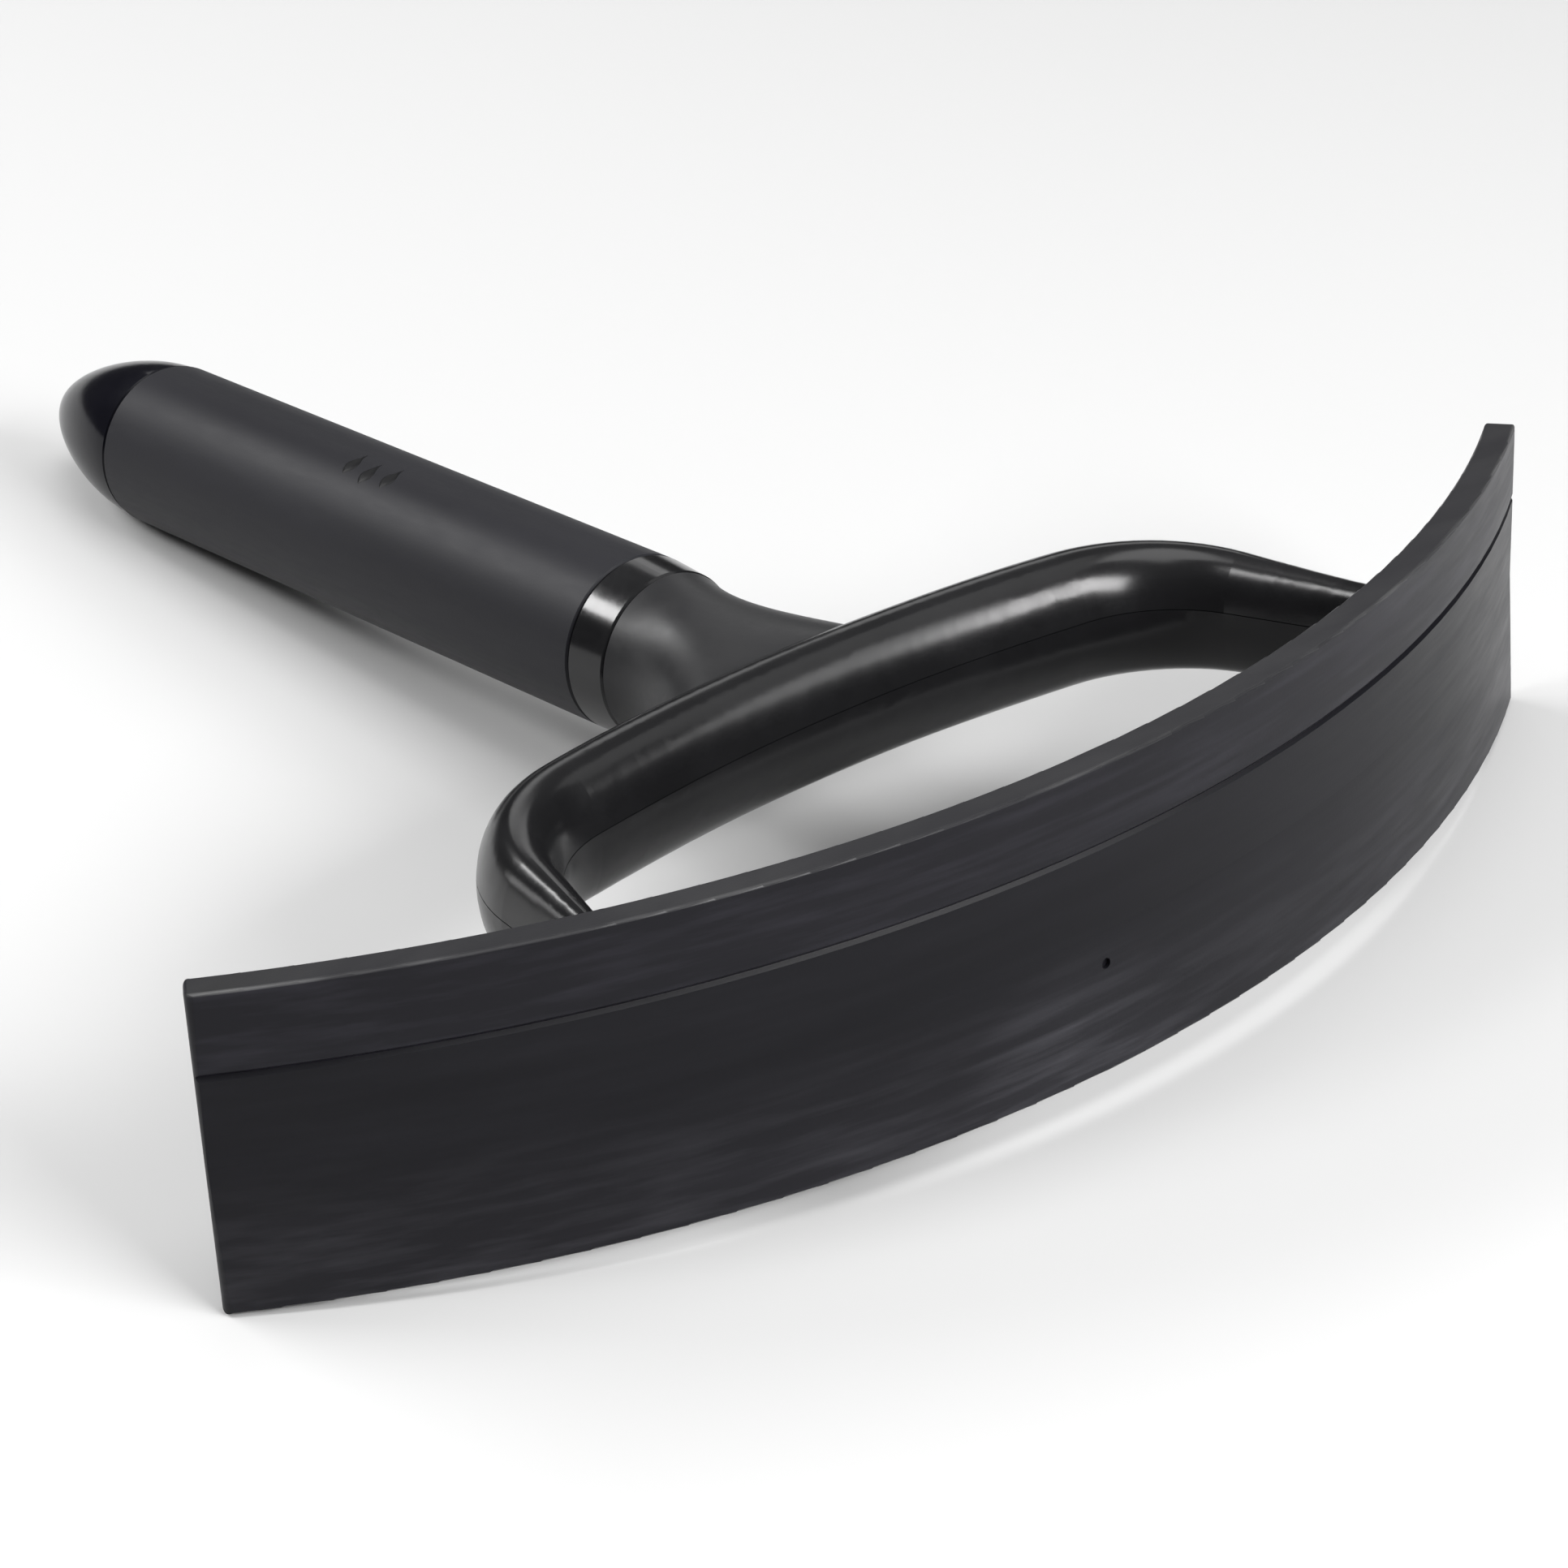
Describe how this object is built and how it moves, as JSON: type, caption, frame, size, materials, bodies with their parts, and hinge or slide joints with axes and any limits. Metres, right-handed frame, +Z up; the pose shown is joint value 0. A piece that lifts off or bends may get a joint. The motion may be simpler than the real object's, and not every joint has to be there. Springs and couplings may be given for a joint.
{
  "type": "sweat scraper",
  "caption": "Sweat scraper: a curved rubber blade with a thin lower lip across a closed tubular loop, on a straight round grip with a domed cap",
  "frame": {"origin": "centre of the base of the part's bounding box, on the surface it rests on", "axes": "+X runs from the grip's cap to the blade, +Y across the blade, +Z up. It rests on the two ends of the blade's lip and the heel of the sleeve, so the grip slopes down by 6 degrees towards the cap"},
  "size_m": [0.2804, 0.274, 0.0553],
  "materials": {
    "blade_rubber": "satin",
    "gloss_black": "gloss",
    "satin_grey": "satin",
    "soft_touch": "matte",
    "core_plastic": "matte",
    "steel": "satin"
  },
  "bodies": {
    "root": {"scraper_blade": "blade_rubber", "loop_upper_shell": "gloss_black", "loop_lower_shell": "gloss_black", "shell_screws": "steel", "neck": "satin_grey", "collar_ring": "gloss_black", "grip_core": "core_plastic", "grip_sleeve": "soft_touch", "end_cap": "gloss_black", "tie_bolt": "steel", "bolt_washer": "steel", "tie_nut": "steel"}
  },
  "joints": []
}
